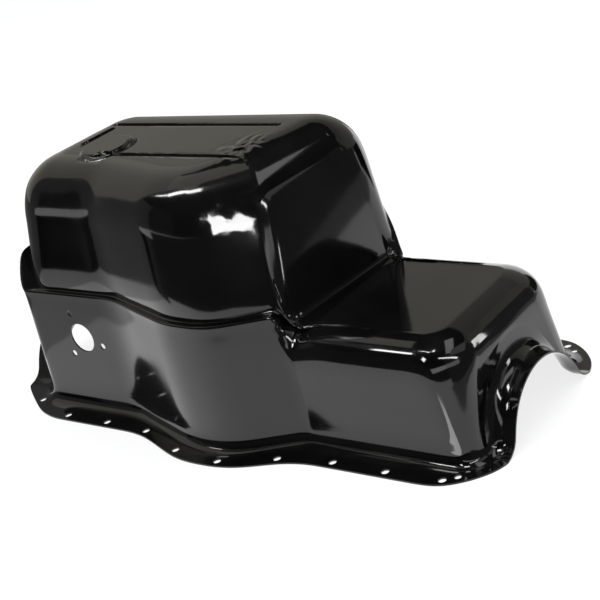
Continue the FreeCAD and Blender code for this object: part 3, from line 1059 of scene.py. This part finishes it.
def make_cards():
    """Cards and strips that shape what the gloss reflects."""
    make_low_cards()
    make_room()
    make_highlights()


def make_low_cards():
    """Dark glowing strips by the pan and glowing patches over the floor, seen only in gloss: painted shade in
    the paint's reflections, the patches painting the floor's reflection darker.
    """
    # Dark cards close round the pan: painted shade in the paint's reflections.
    wall_card("near_low_card", (0.6, -0.302), (-0.27, -0.302), 0.13, 0.05, 0.035)
    wall_card("near_middle_card", (-0.27, -0.302), (-0.32, -0.302), 0.12, 0.06)
    wall_card("near_middle_rear_card", (-0.32, -0.302), (-0.39, -0.302), 0.12, 0.1)
    wall_card("near_rear_card", (-0.39, -0.302), (-0.51, -0.302), 0.12, 0.002)
    wall_card("near_rear_end_card", (-0.51, -0.302), (-1.1, -0.302), 0.12, 0.16)
    wall_card("rear_low_card", (-0.5, -0.3), (-0.5, 0.3), 0.2, 0.18)
    wall_card("front_low_card", (0.53, 0.5), (0.53, -0.3), 0.22, 0.1)
    wall_card("far_low_strip", (-0.7, 0.56), (0.53, 0.56), 0.2, 0.004)
    # Glowing patches over the floor that only gloss sees: painted shade that makes the floor's reflection
    # darker.
    flat_card("rear_floor_shade_card", (-0.48, -0.302), (-0.34, 0.3), 0.002, 0.8)
    flat_card("rear_floor_far_shade_card", (-0.9, -0.302), (-0.48, 0.3), 0.002, 0.5)
    flat_card("front_floor_shade_card", (0.42, -0.25), (0.53, 0.5), 0.002, 0.36)


def make_room():
    """Glowing cards, seen only in gloss, that stand for a grey room whose walls and ceiling differ in tone:
    painted light and shade in the paint's reflections.
    """
    wall_card("near_card", (1.4, -1.2), (-0.5, -1.2), 1.9, 0.004)
    wall_card("near_rear_room_card", (-0.5, -1.2), (-1.5, -1.2), 1.9, 0.04)
    wall_card("rear_near_card", (-1.5, -1.2), (-1.5, -0.5), 1.9, 0.16)
    wall_card("rear_far_card", (-1.5, -0.5), (-1.5, 1.2), 1.9, 0.62, 0.0, WARM)
    wall_card("far_low_card", (-1.5, 1.0), (1.4, 1.0), 0.9, 0.42, 0.0, WARM)
    wall_card("far_high_card", (-0.8, 1.0), (1.4, 1.0), 0.35, 0.33, 0.9, WARM)
    wall_card("far_top_card", (-0.8, 1.0), (1.4, 1.0), 0.65, 0.01, 1.25)
    wall_card("far_rear_top_card", (-1.5, 1.0), (-0.8, 1.0), 1.0, 0.6, 0.9, WARM)
    wall_card("front_card", (1.4, 1.2), (1.4, -1.2), 1.9, 0.09)
    flat_card("ceiling_bright_card", (-1.8, -0.5), (0.12, 0.75), 1.9, 0.85, WARM)
    flat_card("ceiling_near_card", (-1.8, -1.5), (1.8, -0.5), 1.9, 0.01)
    flat_card("ceiling_front_card", (0.12, -0.5), (1.8, 1.5), 1.9, 0.02)
    flat_card("ceiling_far_card", (-1.8, 0.75), (0.12, 1.5), 1.9, 0.1)
    # Dark cards over the shallow end: painted shade on its edge and floor in the paint's reflections.
    flat_card("shallow_shade_card", (-0.25, -0.5), (0.2, -0.157), 0.36, 0.012)
    flat_card("shallow_edge_card", (0.118, -0.12), (0.24, 0.07), 0.262, 0.012)
    flat_card("shallow_edge_near_card", (0.03, -0.135), (0.118, -0.096), 0.262, 0.012)
    # Bright glowing card beyond the far side: a painted highlight along the pan's far rim.
    wall_card("rim_highlight_card", (-0.1, 0.555), (0.2, 0.555), 0.25, 1.6)
    flat_card("shallow_band_card", (-0.04, -0.005), (0.075, 0.12), 0.36, 0.012)


def make_highlights():
    """Bright strips that draw the white lines and spots in the paint."""
    strip_lamp("facet_softbox", (0.28, 0.16, 0.61), (0.5, -0.12, 0.43), 0.14, 2.2)
    strip_lamp("ridge_strip", (0.4, -0.3, 0.42), (0.56, -0.03, 0.19), 0.024, 22.0)
    strip_lamp("crown_rear_strip", (-1.4, -0.66, 1.44), (-1.05, -0.65, 1.44), 0.06, 25.0)
    strip_lamp("crown_middle_strip", (-1.05, -0.65, 1.44), (0.0, -0.5, 1.44), 0.15, 25.0)
    strip_lamp("crown_front_strip", (0.0, -0.5, 1.44), (0.3, -0.31, 1.44), 0.15, 25.0)
    strip_lamp("shallow_strip", (0.098, -0.142, 0.2), (0.15, -0.14, 0.2), 0.02, 25.0)
    strip_lamp("bulge_strip", (0.17, -0.245, 0.262), (0.211, -0.22, 0.205), 0.05, 24.0)
    strip_lamp("front_spot", (0.318, 0.026, 0.085), (0.318, 0.026, 0.12), 0.014, 11.0)
    strip_lamp("corner_near_strip", (0.26, -0.275, 0.115), (0.39, -0.2, 0.16), 0.04, 2.2)
    strip_lamp("corner_front_strip", (0.39, -0.2, 0.16), (0.44, -0.06, 0.14), 0.04, 1.6)
    strip_lamp("facet_low_softbox", (0.5, -0.1, 0.42), (0.5, 0.12, 0.26), 0.14, 0.7)
    # Bright glowing patch on the floor by the near front corner: a painted highlight down that corner.
    flat_card("corner_floor_highlight_card", (0.225, -0.235), (0.265, -0.122), 0.004, 6.0)


def make_camera(look):
    """Camera at the picture's angle."""
    azimuth, elevation, roll = look.azimuth, look.elevation, look.roll
    back = Vector((math.sin(azimuth) * math.cos(elevation), -math.cos(azimuth) * math.cos(elevation),
                   math.sin(elevation)))
    level = Vector((math.cos(azimuth), math.sin(azimuth), 0))
    upright = back.cross(level)
    right = level * math.cos(roll) + upright * math.sin(roll)
    up = back.cross(right)
    lens = bpy.data.cameras.new("picture_camera")
    lens.lens = look.lens
    lens.sensor_width = 36
    camera = bpy.data.objects.new("picture_camera", lens)
    bpy.context.scene.collection.objects.link(camera)
    camera.matrix_world = Matrix.Translation(look.position) @ Matrix((right, up, back)).transposed().to_4x4()
    bpy.context.scene.camera = camera


class OILPAN_PT_sidebar(Panel):
    """Sizes, paint and stage of the oil pan"""
    bl_idname = "OILPAN_PT_sidebar"
    bl_label = "Oil Pan"
    bl_space_type = "VIEW_3D"
    bl_region_type = "UI"
    bl_category = "Oil Pan"

    def draw(self, context):
        column = self.layout.column()
        for group in (context.scene.pan_sizes, context.scene.paint_look, context.scene.stage_look):
            for name in group.__annotations__:
                column.prop(group, name)
        for step in (OILPAN_OT_pressing, OILPAN_OT_drain, OILPAN_OT_stage):
            column.operator(step.bl_idname)


CLASSES = (
    PanSizes, PaintLook, StageLook, OILPAN_OT_pressing, OILPAN_OT_drain, OILPAN_OT_stage, OILPAN_PT_sidebar)


def register():
    """Register the classes and hang the settings on the scene."""
    for kind in CLASSES:
        bpy.utils.register_class(kind)
    bpy.types.Scene.pan_sizes = PointerProperty(type=PanSizes)
    bpy.types.Scene.paint_look = PointerProperty(type=PaintLook)
    bpy.types.Scene.stage_look = PointerProperty(type=StageLook)


def unregister():
    """Take the settings and the classes away again."""
    del bpy.types.Scene.pan_sizes
    del bpy.types.Scene.paint_look
    del bpy.types.Scene.stage_look
    for kind in reversed(CLASSES):
        bpy.utils.unregister_class(kind)


def main():
    """Build the pan and its stage."""
    register()
    bpy.ops.oilpan.pressing()
    bpy.ops.oilpan.drain()
    bpy.ops.oilpan.stage()


if __name__ == "__main__":
    main()
